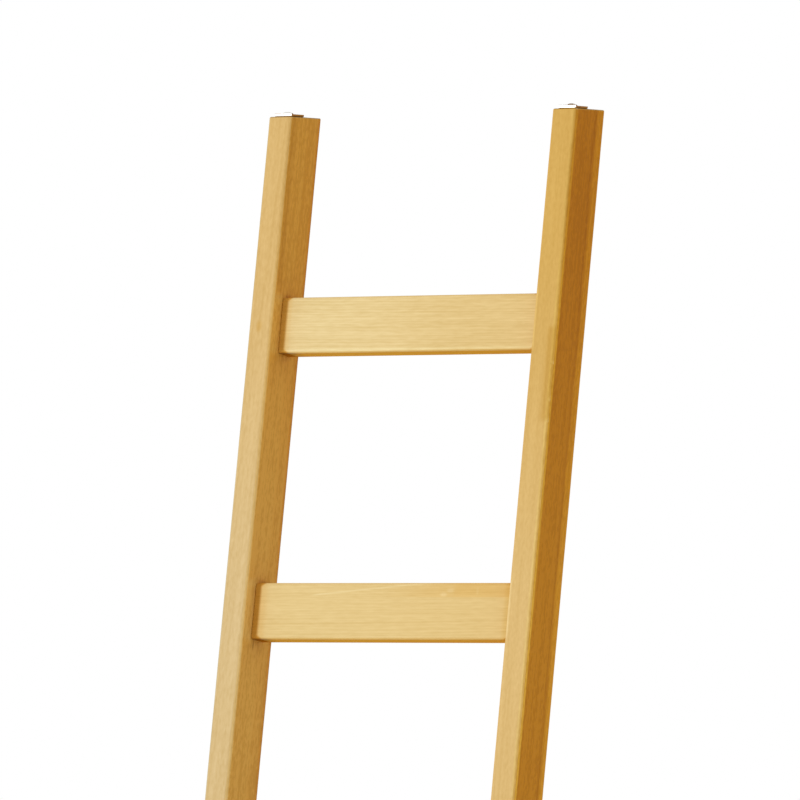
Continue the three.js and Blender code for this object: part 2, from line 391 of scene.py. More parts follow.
# How fine the patterns in the wood are along X, Y and Z, and how much each darkens it
SWAY_SCALE = (9, 9, 2.4)
FIBRE_SCALE = (900, 900, 14)
FIBRE_DEPTH = 0.4
STREAK_DEPTH = 0.8
CLOUD_SCALE = (22, 22, 4)
CLOUD_DEPTH = 0.5
PORE_SCALE = (1900, 1900, 120)
PORE_CUT = (0.66, 0.78)         # only the peaks of the noise are pores
PORE_DEPTH = 0.15
MEAN_DARK = 0.40                # without rings and pores
PALE_TINT = (1.07, 1.09, 1.14, 1)
DARK_TINT = (0.93, 0.90, 0.82, 1)

# Growth rings
RING_WOBBLE_SCALE = 130.0
RING_WOBBLE = 1.6               # most that noise adds to the count of rings
LATE_WOOD_START = (0.35, 0.88)  # share of a year over which the wood darkens
LATE_WOOD_END = (0.9, 1.0)      # and over which the next year's pale wood begins
YEAR_SPREAD = 0.8               # how much more some rings darken than others
FAINTEST_YEAR = 0.25

# Lacquer and surface
WOOD_ROUGHNESS = 0.43
STREAK_ROUGHNESS = 0.14
RING_ROUGHNESS = 0.04
WOOD_GLOSS = 0.04               # specular level of the satin lacquer, which mirrors very little
WOOD_RELIEF = 0.0001
ROUNDING_SHARE = 0.15           # how much of a side's colour its rounded edges take


def wood(name, matrix, look):
    """Solid wood with its own growth rings. Its grain runs along the piece's Z, and its front faces -Y.

    look gives these values:
    - front and side colours at the low and the high end, and fade, the stretch between the two; the side
      colour is painted shade, and the change of the front colour is partly painted sheen;
    - end, the end grain, and end_rim, the eased edge round it;
    - other_side, the share of the side colour, a painted shade, that the side towards -X has, which faces
      the lamp on a rail and up on a rung;
    - pith, its place across the piece, and stray, how far it moves for each metre along it;
    - ring and ring_depth, the width and the strength of the rings, and sway, how far they stray;
    - streak and mottle, how fine these are, and mottle_depth, how strong the mottling is;
    - contrast, how strongly the grain shows on the front and on the sides;
    - dry_sides, how much of the gloss the sides lack, the seed of the noise, and the figures.
    """
    g = Graph(name)
    place = g.add("ShaderNodeTexCoord", {})
    where = {"Location": matrix.to_translation(), "Rotation": matrix.to_euler()}
    turn = {"Rotation": matrix.to_euler()}
    mapping = {"vector_type": "TEXTURE"}
    point = g.add("ShaderNodeMapping", {"Vector": place.outputs["Object"], **where}, **mapping).outputs[0]
    normal = g.add("ShaderNodeMapping", {"Vector": place.outputs["Normal"], **turn}, **mapping).outputs[0]
    x, y, z = g.split(point)
    outward_x = g.split(normal)[0]
    facing_x, _, facing_z = g.split(g.vector("ABSOLUTE", normal))
    seed = look["seed"]

    # Growth rings round the pith
    sway = g.around(g.noise(point, SWAY_SCALE, 2, seed), look["sway"])
    from_pith = []
    for across, start, stray in zip((x, y), look["pith"], look["stray"]):
        axis = g.math("MULTIPLY_ADD", z, stray, start)
        from_pith.append(g.math("ADD", g.math("SUBTRACT", across, axis), sway))
    squares = [g.math("MULTIPLY", part, part) for part in from_pith]
    radius = g.math("SQRT", g.math("ADD", *squares))
    wobble = g.noise_along("ShaderNodeTexNoise", radius, Scale=RING_WOBBLE_SCALE, Detail=2.0)
    count = g.math("ADD", g.math("DIVIDE", radius, look["ring"]), g.math("MULTIPLY", wobble, RING_WOBBLE))
    phase = g.math("FRACT", count)
    late = g.times(g.step(phase, *LATE_WOOD_START), g.step(phase, *LATE_WOOD_END, 1.0, 0.0))
    year = g.noise_along("ShaderNodeTexWhiteNoise", g.math("FLOOR", count))
    ring = g.times(late, g.math("MULTIPLY_ADD", year, YEAR_SPREAD, FAINTEST_YEAR))

    # Fibres, pores and slow changes of tone
    fibre = g.noise(point, FIBRE_SCALE, 3, seed + 1)
    streak = g.noise(point, look["streak"], 2, seed + 2)
    mottle = g.noise(point, look["mottle"], 2, seed + 3)
    cloud = g.noise(point, CLOUD_SCALE, 1, seed + 4)
    pores = g.step(g.noise(point, PORE_SCALE, 1, seed + 5), *PORE_CUT)

    # How dark the wood is at a point, about 0.5 on the whole
    dark = g.math("MULTIPLY_ADD", ring, look["ring_depth"], MEAN_DARK)
    depths = (FIBRE_DEPTH, STREAK_DEPTH, look["mottle_depth"], CLOUD_DEPTH)
    for part, depth in zip((fibre, streak, mottle, cloud), depths):
        dark = g.math("ADD", dark, g.around(part, depth))
    dark = g.math("ADD", dark, g.math("MULTIPLY", pores, PORE_DEPTH))

    # Colours, and how strongly the grain shows on the front and on the sides. The side colour is painted
    # shade, darker and more saturated where a face turns away from the lamp or down; rounded edges take a
    # little of it
    along = g.step(z, *look["fade"])
    front = g.mix(along, linear(*look["front_low"]), linear(*look["front_high"]))
    side = g.mix(along, linear(*look["side_low"]), linear(*look["side_high"]))
    on_rounding = g.step(facing_x, 0.2, 0.8, 0, ROUNDING_SHARE)
    on_flat_side = g.step(facing_x, 0.93, 0.999, 0, 1 - ROUNDING_SHARE)
    side_share = g.math("ADD", on_rounding, on_flat_side)
    side_share = g.math("MULTIPLY", side_share, g.step(outward_x, -0.4, 0.2, look["other_side"], 1.0))
    on_front, on_sides = look["contrast"]
    contrast = g.math("MULTIPLY_ADD", side_share, on_sides - on_front, on_front)
    dark = g.math("MULTIPLY_ADD", g.math("SUBTRACT", dark, 0.5), contrast, 0.5)
    tone = g.mix(side_share, front, side)
    tone = g.mix(g.step(facing_z, 0.25, 0.8), tone, linear(*look["end_rim"]))
    tone = g.mix(g.step(facing_z, 0.88, 0.98), tone, linear(*look["end"]))
    tone = g.mix(1.0, tone, g.mix(dark, PALE_TINT, DARK_TINT), "MULTIPLY")
    for figure in look["figures"]:
        share, tint = figure(g, point)
        tone = g.mix(share, tone, g.mix(1.0, tone, (*tint, 1), "MULTIPLY"))

    # Satin lacquer, with fibres that show through it a little
    rough = g.math("ADD", WOOD_ROUGHNESS, g.around(streak, STREAK_ROUGHNESS))
    rough = g.math("ADD", rough, g.math("MULTIPLY", ring, RING_ROUGHNESS))
    relief = g.math("ADD", g.math("MULTIPLY", fibre, 0.6), g.math("MULTIPLY", ring, 0.5))
    relief = g.math("SUBTRACT", relief, g.math("MULTIPLY", pores, 0.5))
    g.bump(relief, 0.35, WOOD_RELIEF)
    dry = g.math("MAXIMUM", g.step(facing_z, 0.1, 0.5), g.step(facing_x, 0.3, 0.9, 0, look["dry_sides"]))
    gloss = g.math("MULTIPLY_ADD", dry, -WOOD_GLOSS, WOOD_GLOSS)
    g.feed(g.shader, {"Base Color": tone, "Roughness": rough, "Specular IOR Level": gloss})
    return g.material


# Figures in the wood. Each gives its share at a point, and the tint that multiplies the tone there.
SPOT_CORE = 0.25                # share of a spot's reach that has the full tint
SAPWOOD_START = (0.0180, 0.0155)    # how far behind a rail's middle, low down and at its top
SAPWOOD_SWAY = 0.009
BOUNDARY_SWAY = 0.002
ROUNDING_END = -0.0272          # where the rounding of a rail's front edges meets its sides
ROUNDING_SOFT = 0.0006
ARRIS_SOFT = 0.001
MARK_SOFT = 0.001

# Painted shade and painted light that the rungs throw on the rails, by distance from the middle of a rung
BESIDE_RUNG = (0.026, 0.036)
OVER_RUNG_SHADE_START = (0.0290, 0.0300)
OVER_RUNG_SHADE_END = (0.0320, 0.0370)

# Painted shade at the ends of the rungs, where the rails shade them, as distances from the end
SHOULDER_FADE = (0.0052, 0.0098)
SHOULDER_CORNER = 0.004         # how much farther it reaches at the long edges
RUNG_END_SHADE_TINT = (0.76, 0.53, 0.20)
FAR_START = 0.0100
UNDERSIDE = (0.0288, 0.0298)    # not a distance, but where a rung's own X reaches its underside
UNDER_FADE = (0.008, 0.030)
UNDER_SHADE_TINT = (0.55, 0.60, 0.95)


def spot(centre, reach, tint):
    """A soft blotch with a centre and a reach along X, Y and Z."""
    def draw(g, point):
        away = g.vector("DIVIDE", g.vector("SUBTRACT", point, centre), reach)
        return g.step(g.vector("LENGTH", away), SPOT_CORE, 1.0, 1.0, 0.0), tint
    return draw


def between(g, point, limits, soft):
    """1 between two places on each axis that limits names, 0, 1 or 2 for X, Y or Z, and 0 outside."""
    places = g.split(point)
    share = 1.0
    for axis, (start, end) in limits.items():
        from_start = g.step(places[axis], start - soft, start + soft)
        to_end = g.step(places[axis], end - soft, end + soft, 1.0, 0.0)
        share = g.times(share, from_start, to_end)
    return share


def patch(limits, soft, tint):
    """A soft-edged patch."""
    def draw(g, point):
        return between(g, point, limits, soft), tint
    return draw


def back_band(tint, rim_tint):
    """Paler sapwood along the back edge of a rail, behind a thin dark ring boundary that sways."""
    def behind_boundary(g, point):
        y, z = g.split(point)[1:]
        sway = g.around(g.noise(point, (0, 0, 9), 2, 4.0), SAPWOOD_SWAY)
        boundary = g.math("ADD", sway, g.step(z, 1.1, 1.7, *SAPWOOD_START))
        return g.math("SUBTRACT", y, boundary)

    def draw_band(g, point):
        return g.step(behind_boundary(g, point), -0.0025, 0.0035), tint

    def draw_rim(g, point):
        behind = behind_boundary(g, point)
        return g.times(g.step(behind, -0.007, -0.003), g.step(behind, -0.003, 0.0, 1.0, 0.0)), rim_tint
    return [draw_band, draw_rim]


def flame(tip_x, tip_z, spread, low_x, tint, line_tint):
    """Darker heartwood under a ring boundary that rises from a tip along the rung, with a pale rim."""
    def from_tip(g, point):
        return g.math("MAXIMUM", g.math("SUBTRACT", g.split(point)[2], tip_z), 0.0)

    def above_boundary(g, point):
        sway = g.around(g.noise(point, (60, 60, 18), 2, 6.0), BOUNDARY_SWAY)
        rise = g.math("MULTIPLY", from_tip(g, point), spread)
        boundary = g.math("SUBTRACT", tip_x, g.math("ADD", rise, sway))
        return g.math("SUBTRACT", boundary, g.split(point)[0])

    def draw_heart(g, point):
        x, _, z = g.split(point)
        under_boundary = g.step(above_boundary(g, point), -0.004, 0.0008, 1.0, 0.0)
        over_low_edge = g.step(x, low_x - 0.0004, low_x + 0.0008, 1.0, 0.0)
        return g.times(under_boundary, g.step(z, -0.02, 0.09), over_low_edge), tint

    def draw_rim(g, point):
        above = above_boundary(g, point)
        line = g.times(g.step(above, -0.0016, -0.0002), g.step(above, 0.0002, 0.001, 1.0, 0.0))
        return g.times(line, g.step(from_tip(g, point), 0.0, 0.012)), line_tint
    return [draw_heart, draw_rim]


def shade_at_rung_ends(half_length, far_tint, far_reach):
    """Painted shade where a rung meets the rails, and painted shadow of the left rail farther out along the
    front and painted shade below, at its left end.
    """
    def draw_near(g, point):
        x, _, z = g.split(point)
        at_edges = g.step(g.math("ABSOLUTE", x), 0.0250, 0.0300, 0.0, SHOULDER_CORNER)
        from_end = g.math("SUBTRACT", half_length, g.math("ABSOLUTE", z))
        return g.step(g.math("SUBTRACT", from_end, at_edges), *SHOULDER_FADE, 1.0, 0.0), RUNG_END_SHADE_TINT

    def draw_far(g, point):
        z = g.split(point)[2]
        return g.step(z, FAR_START - half_length, far_reach - half_length, 1.0, 0.0), far_tint

    def draw_under(g, point):
        x, y, z = g.split(point)
        start, end = UNDER_FADE
        at_end = g.step(z, start - half_length, end - half_length, 1.0, 0.0)
        return g.times(g.step(x, *UNDERSIDE), g.step(y, -0.006, 0.004, 1.0, 0.5), at_end), UNDER_SHADE_TINT
    return [draw_near, draw_far, draw_under]


def painted_edge_light(start, tint, rim_end, rim_tint, fade):
    """Painted highlight: lighter colour over the rounding at a rail's front right edge and on a thin rim
    behind it, where the rounding would catch more of the lamp.

    It starts at an X on the front, its rim ends at a Y on the side, and it weakens over the heights in fade.
    """
    def draw_rounding(g, point):
        x, y, z = g.split(point)
        from_start = g.step(x, start - ARRIS_SOFT, start + ARRIS_SOFT)
        to_side = g.step(y, ROUNDING_END - ROUNDING_SOFT, ROUNDING_END + ROUNDING_SOFT, 1.0, 0.0)
        return g.times(from_start, to_side, g.step(z, *fade, 1.0, 0.4)), tint

    def draw_rim(g, point):
        x, y, z = g.split(point)
        rim_start = ROUNDING_END - 0.0001
        from_rounding = g.step(y, rim_start - ROUNDING_SOFT, rim_start + ROUNDING_SOFT)
        to_end = g.step(y, rim_end - ARRIS_SOFT, rim_end + ARRIS_SOFT, 1.0, 0.0)
        at_side = g.step(x, 0.0110, 0.0125)
        return g.times(from_rounding, to_end, at_side, g.step(z, *fade, 1.0, 0.6)), rim_tint
    return [draw_rounding, draw_rim]


def above_nearest_rung(g, point):
    """How far a point of a rail lies above the middle of the rung that is nearest."""
    first, second = [(LADDER.inverted() @ middle(name)).z for name in RUNGS[:2]]
    pitch = second - first
    z = g.split(point)[2]
    return g.math("SUBTRACT", g.math("WRAP", z, first + pitch / 2, first - pitch / 2), first)


def light_beside_rungs(limits, tint):
    """A patch of painted light that comes back on a rail beside each rung."""
    def draw(g, point):
        away = g.math("ABSOLUTE", above_nearest_rung(g, point))
        return g.times(between(g, point, limits, MARK_SOFT), g.step(away, *BESIDE_RUNG, 1.0, 0.0)), tint
    return draw


def shade_over_rungs(limits, tint):
    """Painted shade on a rail in the corner on top of each rung."""
    def draw(g, point):
        above = above_nearest_rung(g, point)
        in_corner = g.times(g.step(above, *OVER_RUNG_SHADE_START), g.step(above, *OVER_RUNG_SHADE_END, 1.0, 0.0))
        return g.times(between(g, point, limits, MARK_SOFT), in_corner), tint
    return draw


# Colours are written as 0 to 255 on screen, and tints multiply them
# Rails: the darker, more saturated sides are painted shade of faces turned from the lamp, and the paler,
# bluer low end of the fronts is partly the wood's own tone and partly painted sheen
RAIL_TONES = {
    "left": {
        "front_low": (219, 190, 136),
        "front_high": (220, 183, 117),
        "side_low": (217, 164, 74),
        "side_high": (216, 155, 58),
    },
    "right": {
        "front_low": (224, 188, 122),
        "front_high": (218, 175, 93),
        "side_low": (200, 132, 30),
        "side_high": (191, 119, 18),
    },
}
RAIL_FIGURES = {
    "left": [
        # A brown speck on the front beside the top rung, and a dark mark under the fourth rung
        spot((-0.001, -0.03, 1.506), (0.005, 0.02, 0.009), (0.94, 0.87, 0.68)),
        spot((0.014, -0.0065, 1.170), (0.004, 0.0016, 0.009), (0.62, 0.55, 0.45)),
        # A darker strip along the front of the sides, above the top rung
        patch({1: (-0.0265, -0.0165), 2: (1.545, 2)}, 0.0015, (0.90, 0.87, 0.80)),
        # The inner side darkens in three steps towards the back edge
        patch({0: (0.01, 0.02), 1: (0.006, 0.05)}, 0.004, (0.98, 0.95, 0.90)),
        patch({0: (0.005, 0.02), 1: (0.0228, 0.05)}, 0.001, (0.95, 0.84, 0.70)),
        patch({0: (0.005, 0.02), 1: (0.0258, 0.05)}, 0.001, (0.90, 0.85, 0.80)),
        # A greyer outer edge
        patch({0: (-0.02, -0.0118), 1: (-0.05, -0.02)}, 0.001, (0.90, 1.02, 1.28)),
        # The painted highlight on the inner edge, painted shade on top of each rung, and painted light that
        # the rungs' fronts throw on the side beside them
        *painted_edge_light(0.0124, (1.13, 1.12, 0.96), -0.0260, (1.16, 1.32, 1.8), (1.5, 1.7)),
        shade_over_rungs({0: (0.012, 0.02), 1: (-0.007, 0.031)}, (0.80, 0.71, 0.56)),
        light_beside_rungs({0: (0.012, 0.02), 1: (-0.0262, -0.0128)}, (1.06, 1.22, 1.8)),
    ],
    "right": [
        *back_band((1.19, 1.31, 1.52), (0.89, 0.84, 0.72)),
        # Paler wood in each bruise, partly worn wood and partly a painted highlight where it catches the
        # lamp, and a painted highlight on the inner edge, which faces the lamp
        *[spot((0.0135, -0.0295, z), (0.0025, 0.0025, 0.003), (1.12, 1.18, 1.3)) for z in NICKS["right"]],
        patch({0: (-0.02, -0.0122), 1: (-0.04, -0.027)}, 0.001, (1.05, 1.06, 1.10)),
        # Darker wood round the bruises
        patch({0: (0.0055, 0.02), 1: (-0.04, -0.0272), 2: (1.402, 1.500)}, 0.004, (0.90, 0.83, 0.62)),
        # The painted highlight on the outer edge, with a darker line where it meets the side
        *painted_edge_light(0.0114, (1.20, 1.27, 1.24), -0.0234, (1.41, 1.91, 3.8), (1.5, 1.64)),
        patch({0: (0.0131, 0.02), 1: (-0.04, -0.0272)}, 0.0005, (0.96, 0.87, 0.62)),
        # Painted highlight: the inner edge, which faces the lamp, is paler still where the rungs meet the
        # rail
        light_beside_rungs({0: (-0.02, -0.0106), 1: (-0.04, -0.0262)}, (1.12, 1.21, 1.40)),
    ],
}
RUNG_FIGURES = {
    4: [
        *flame(-0.0165, -0.096, 0.090, -0.0148, (0.98, 0.92, 0.80), (1.06, 1.11, 1.22)),
        # The upper part is a little darker towards the right, with pale flecks
        patch({0: (-0.04, -0.0148), 2: (0.085, 0.3)}, 0.004, (0.99, 0.96, 0.88)),
        spot((-0.0175, -0.012, 0.072), (0.0035, 0.01, 0.006), (1.06, 1.12, 1.30)),
        spot((-0.0215, -0.012, 0.080), (0.0030, 0.01, 0.006), (1.06, 1.12, 1.30)),
        spot((-0.0210, -0.012, 0.113), (0.0060, 0.01, 0.0022), (1.04, 1.08, 1.20)),
        # The right end is a little darker: painted shade beside the right rail
        patch({2: (0.1475, 0.3)}, 0.0035, (0.95, 0.91, 0.76)),
    ],
    5: [
        # A pale fleck, and a painted highlight along the lower front edge
        spot((0.002, -0.012, 0.139), (0.003, 0.01, 0.004), (1.03, 1.05, 1.08)),
        patch({0: (0.0262, 0.0288)}, 0.0006, (1.10, 1.17, 1.28)),
    ],
}
# A darker line where the rounding of the front meets the underside, and a paler underside
UNDERSIDE_FIGURES = (
    patch({0: (0.0290, 0.0298), 1: (-0.0125, 0.0125)}, 0.0004, (0.95, 0.88, 0.60)),
    patch({0: (0.0298, 0.0310), 1: (-0.0115, 0.0125)}, 0.0003, (0.98, 1.03, 1.75)),
)
# Front tones at the left and right end of the two upper rungs, and of the others. The bluer left end is
# partly the wood's own tone and partly painted sheen of the lamp
RUNG_FRONTS = {4: ((230, 202, 140), (231, 200, 135)), 5: ((234, 209, 151), (231, 200, 136))}
OTHER_FRONTS = ((232, 206, 148), (229, 198, 134))
FRONT_CONTRAST = {4: 1.15}
OTHER_CONTRAST = 1.5
# How the shade beside the left rail goes on along the front: its tint, and its reach from the end
FAR_SHADES = {4: ((0.97, 0.91, 0.80), 0.0195), 5: ((0.985, 0.94, 0.84), 0.0145)}
OTHER_FAR_SHADE = ((0.98, 0.93, 0.84), 0.017)


def rail_look(name):
    return {
        **RAIL_TONES[name],
        "end_rim": (150, 112, 58),
        "end": (206, 168, 110),
        "fade": (1.15, 1.65),
        "pith": (-0.09 * SIDES[name], 0.03),
        "stray": (0.02, 0.035),
        "ring": 0.0045,
        "ring_depth": 0.3,
        "sway": 0.006,
        "streak": (190, 190, 5),
        "mottle": (400, 400, 150),
        "mottle_depth": 1.5,
        "contrast": (1.0, 3.9 + 0.5 * SIDES[name]),
        "dry_sides": 0.0,
        "other_side": 0.45,
        "seed": 3.1 + SIDES[name],
        "figures": RAIL_FIGURES[name],
    }


def rung_look(number, half_length):
    """The pith lies above an odd rung and below an even one."""
    above = 1 if number % 2 else -1
    front_low, front_high = RUNG_FRONTS.get(number, OTHER_FRONTS)
    far_shade = FAR_SHADES.get(number, OTHER_FAR_SHADE)
    return {
        "front_low": front_low,
        "front_high": front_high,
        # The side colour is painted shade, full on the underside and partly on top
        "side_low": (230, 170, 52),
        "side_high": (230, 166, 46),
        "end_rim": (170, 132, 76),
        "end": (196, 160, 104),
        "fade": (-0.16, 0.16),
        "pith": (0.12 * above, 0.035),
        "stray": (0.006 * above, 0.02),
        "ring": 0.0026,
        "ring_depth": 0.35,
        "sway": 0.003,
        "streak": (420, 420, 9),
        "mottle": (420, 420, 60),
        "mottle_depth": 1.0,
        "contrast": (FRONT_CONTRAST.get(number, OTHER_CONTRAST), 1.0),
        "dry_sides": 1.0,
        "other_side": 0.4,
        "seed": 11.3 + 2.9 * number,
        "figures": [
            *RUNG_FIGURES.get(number, ()),
            *UNDERSIDE_FIGURES,
            *shade_at_rung_ends(half_length, *far_shade),
        ],
    }


def dowel_wood():
    """Bare pale wood with its fibres along X."""
    g = Graph("dowel_wood")
    point = g.add("ShaderNodeTexCoord", {}).outputs["Object"]
    fibre = g.noise(point, (30, 900, 900), 3, 5)
    mottle = g.noise(point, (60, 200, 200), 2, 7)
    tone = g.mix(fibre, linear(226, 200, 152), linear(196, 160, 104))
    tone = g.mix(g.math("MULTIPLY", mottle, 0.4), tone, linear(206, 172, 118))
    g.bump(fibre, 0.4, WOOD_RELIEF)
    g.feed(g.shader, {"Base Color": tone, "Roughness": g.math("MULTIPLY_ADD", fibre, 0.2, 0.6)})
    return g.material


# Metal and rubber: how fine the brushing is along each axis, the painted highlight where the metal faces the
# front, and its coat, which is partly the finish's tint and partly painted shade
STEELS = {
    "plate_steel": {
        "brush": (120, 4000, 120),
        "front_highlight": (246, 245, 242),
        "coat": (156, 104, 32),
        "end_share": 0.6,
        "top": (186, 182, 168),
    },
    "screw_steel": {"brush": (600, 600, 600), "front_highlight": (244, 243, 240), "coat": (120, 88, 34)},
    # A lighter copy of the screw steel for the left screw's head, a painted highlight
    "highlit_steel": {"brush": (600, 600, 600), "front_highlight": (244, 243, 240), "coat": (226, 224, 218)},
}
STAIN_SHARE = 0.8               # brightness of the coat where it is stained
STEEL_ROUGHNESS = 0.16
STEEL_RELIEF = 0.00004
RUBBER_RELIEF = 0.00012


def steel(name, brush, front_highlight, coat, lip_foot=0, end_share=1.0, top=None):
    """Brushed steel with a painted highlight where it faces the front and not up, and its coat, partly
    painted shade, elsewhere.

    Above the height lip_foot, the coat keeps only end_share of its brightness where it faces sideways, a
    painted shade on the ends of the turned-up edge.
    What faces up has the colour top, or the coat where none is given.
    """
    g = Graph(name)
    place = g.add("ShaderNodeTexCoord", {})
    point = place.outputs["Object"]
    side, front, up = g.split(place.outputs["Normal"])
    height = g.split(point)[2]
    scratches = g.noise(point, brush, 3, 2)
    stains = g.noise(point, (260, 260, 260), 3, 8)
    wear = g.around(stains, 0.3)
    # Faces to the front get a painted highlight; the coat that the rest keeps is partly painted shade
    facing_front = g.step(g.math("ADD", front, wear), -0.75, -0.45, 1.0, 0.0)
    lit_front = g.times(facing_front, g.step(g.math("ADD", up, wear), 0.15, 0.45, 1.0, 0.0))
    stained = linear(*[STAIN_SHARE * part for part in coat])
    coating = g.mix(g.step(stains, 0.45, 0.75), linear(*coat), stained)
    facing_sideways = g.step(g.math("ABSOLUTE", side), 0.4, 0.8)
    at_lip_end = g.times(facing_sideways, g.step(height, lip_foot, lip_foot + 0.0004))
    coating = g.mix(at_lip_end, coating, linear(*[end_share * part for part in coat]))
    if top:
        coating = g.mix(g.step(up, 0.6, 0.95), coating, linear(*top))
    tone = g.mix(lit_front, coating, linear(*front_highlight))
    rough = g.math("ADD", g.math("MULTIPLY", scratches, 0.12), g.math("MULTIPLY", stains, 0.16))
    rough = g.math("ADD", rough, STEEL_ROUGHNESS)
    g.bump(scratches, 0.25, STEEL_RELIEF)
    g.feed(g.shader, {"Base Color": tone, "Metallic": 1.0, "Roughness": rough})
    return g.material


def rubber():
    """Matt black moulded rubber with a trace of dust."""
    g = Graph("pad_rubber")
    point = g.add("ShaderNodeTexCoord", {}).outputs["Object"]
    grain = g.noise(point, (2600, 2600, 2600), 2, 4)
    dust = g.step(g.noise(point, (90, 90, 200), 4, 9), 0.5, 0.8)
    tone = g.mix(g.math("MULTIPLY", dust, 0.35), linear(36, 35, 34), linear(92, 86, 78))
    g.bump(grain, 0.35, RUBBER_RELIEF)
    g.feed(g.shader, {"Base Color": tone, "Roughness": g.math("MULTIPLY_ADD", grain, 0.2, 0.68)})
    return g.material


# Rails
def build_rail(name):
    node = f"rail_{name}"
    low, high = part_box(node)
    ladder_low, ladder_high = ladder_box(node)
    width = high.x - low.x
    depth = ladder_high.y - ladder_low.y
    matrix = LADDER @ Matrix.Translation(((ladder_low.x + ladder_high.x) / 2, 0, 0))
    rise = 1 / math.cos(LEAN)
    steps = range(-NICK_STATIONS, NICK_STATIONS + 1)
    nick_stations = [z + step * NICK_STATION_GAP for z in NICKS[name] for step in steps]
    rail = board(f"{node}_body", width, depth, low.z * rise, high.z * rise, RAIL_EDGE_R, RAIL_END_EASE,
                 math.tan(LEAN), EDGE_WANDER, nick_stations)
    for z in NICKS[name]:
        dent(rail, (width / 2, -depth / 2), z)
    carve_in_place(rail, matrix, rail_cutters(name))
    finish_piece(rail, matrix, wood(f"{node}_wood", matrix, rail_look(name)), "rail_wood", node)


def rail_cutters(name):
    """Rods for the dowel holes and the screws' pilot holes of one rail."""
    cutters = []
    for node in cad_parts:
        if node.startswith("dowel_") and f"_{name}_" in node:
            cutters.append(dowel_hole_rod(node))
        if node.startswith(("top_plate_screw", "foot_screw")) and f"_{name}" in node:
            cutters.append(hole_rod(node, 2, PILOT_HOLE_R, PILOT_SPARE))
    return cutters


# Rungs
def build_rung(number):
    """A rung's own Z points to the right, and its X points down the rails."""
    node = f"rung_{number}"
    low, high = ladder_box(node)
    size = high - low
    matrix = LADDER @ Matrix.Translation((low + high) / 2) @ Matrix.Rotation(math.pi / 2, 4, "Y")
    half = size.x / 2 + RUNG_SEATING
    rung = board(f"{node}_body", size.z, size.y, -half, half, RUNG_EDGE_R, RUNG_END_EASE, 0, EDGE_WANDER)
    cutters = [dowel_hole_rod(dowel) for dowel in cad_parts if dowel.startswith(f"dowel_{number}_")]
    carve_in_place(rung, matrix, cutters)
    finish_piece(rung, matrix, wood(f"{node}_wood", matrix, rung_look(number, half)), "rung_wood", node)


# Plates, pads and screws
def build_plate(name, material):
    """A flat plate whose front edge is turned up: it is cut down from the height of that lip."""
    node = f"top_plate_{name}"
    low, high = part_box(node)
    size = high - low
    plate = board(f"{node}_body", size.x, size.y, 0, size.z, PLATE_CORNER_R, PLATE_EASE)
    front = -size.y / 2
    behind_lip = [(front + LIP_FOOT, PLATE_T), (size.y, PLATE_T), (size.y, 2 * size.z),
                  (front + LIP_TOP, 2 * size.z), (front + LIP_TOP, size.z)]
    points, faces = skin([(end, [Vector(corner) for corner in behind_lip]) for end in (-size.x, size.x)])
    spare = new_object("spare", [(across, y, z) for y, z, across in points], faces)
    centre = middle(node)
    screw_y = middle(f"top_plate_screw_{name}").y - centre.y
    hole = rod(PLATE_HOLE_R, (0, screw_y, -size.z), (0, screw_y, 2 * size.z))
    carve(plate, [spare, hole])
    place = Matrix.Translation((centre.x, centre.y, low.z))
    finish_piece(plate, place, material, "plate_steel", node)
    bevel = plate.modifiers.new("broken_edges", "BEVEL")
    bevel.width = PLATE_BURR
    bevel.segments = PLATE_BURR_STEPS
    bevel.limit_method = "ANGLE"
    bevel.angle_limit = SHARP_ANGLE
    # The bevel comes before the shading that finish_piece gave
    plate.modifiers.move(1, 0)


def build_pad(name, material):
    """A sole with grooves across it and a countersunk hole for each of its screws."""
    node = f"foot_pad_{name}"
    low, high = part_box(node)
    size = high - low
    pad = board(f"{node}_body", size.x, size.y, 0, size.z, PAD_CORNER_R, PAD_EASE)
    centre = middle(node)
    cutters = []
    for index in range(PAD_GROOVES):
        along = (index - (PAD_GROOVES - 1) / 2) * PAD_GROOVE_PITCH
        groove = board("groove", PAD_GROOVE_W, 2 * PAD_GROOVE_DEPTH, -size.x, size.x,
                       PAD_GROOVE_CORNER_R, PAD_GROOVE_END_EASE)
        groove.data.transform(Matrix.Translation((0, along, 0)) @ Matrix.Rotation(math.pi / 2, 4, "Y"))
        cutters.append(groove)
    for end in ("front", "back"):
        screw = f"foot_screw_{name}_{end}"
        screw_low, screw_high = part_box(screw)
        head_r = (screw_high.x - screw_low.x) / 2 + SINK_SPARE
        sink = screw_low.z
        hole = turned("hole", [(SINK_START, head_r), (sink, head_r), (sink + SUNK_HEAD_H, PILOT_HOLE_R),
                               (2 * size.z, PILOT_HOLE_R)])
        hole.data.transform(Matrix.Translation((0, middle(screw).y - centre.y, 0)))
        cutters.append(hole)
    carve(pad, cutters)
    place = Matrix.Translation((centre.x, centre.y, low.z))
    finish_piece(pad, place, material, "pad_rubber", node)


def threaded(start, end):
    """Rings of a screw thread from a start height down to a pointed end."""
    steps = math.ceil((start - end) / SCREW_PITCH * THREAD_STEPS)
    rings = []
    for step in range(1, steps):
        height = start + (end - start) * step / steps
        taper = min(1, (height - end) / SCREW_TIP)
        run_in = min(1, (start - height) / SCREW_PITCH)
        ring = []
        for side in range(SCREW_SIDES):
            angle = 2 * math.pi * side / SCREW_SIDES
            phase = (height / SCREW_PITCH - side / SCREW_SIDES) % 1
            crest = max(0, 1 - abs(phase - 0.5) / SCREW_FLANK) * run_in
            radius = (SCREW_ROOT_R + (SCREW_CREST_R - SCREW_ROOT_R) * crest) * taper
            ring.append(Vector((radius * math.cos(angle), radius * math.sin(angle))))
        rings.append((height, ring))
    return rings


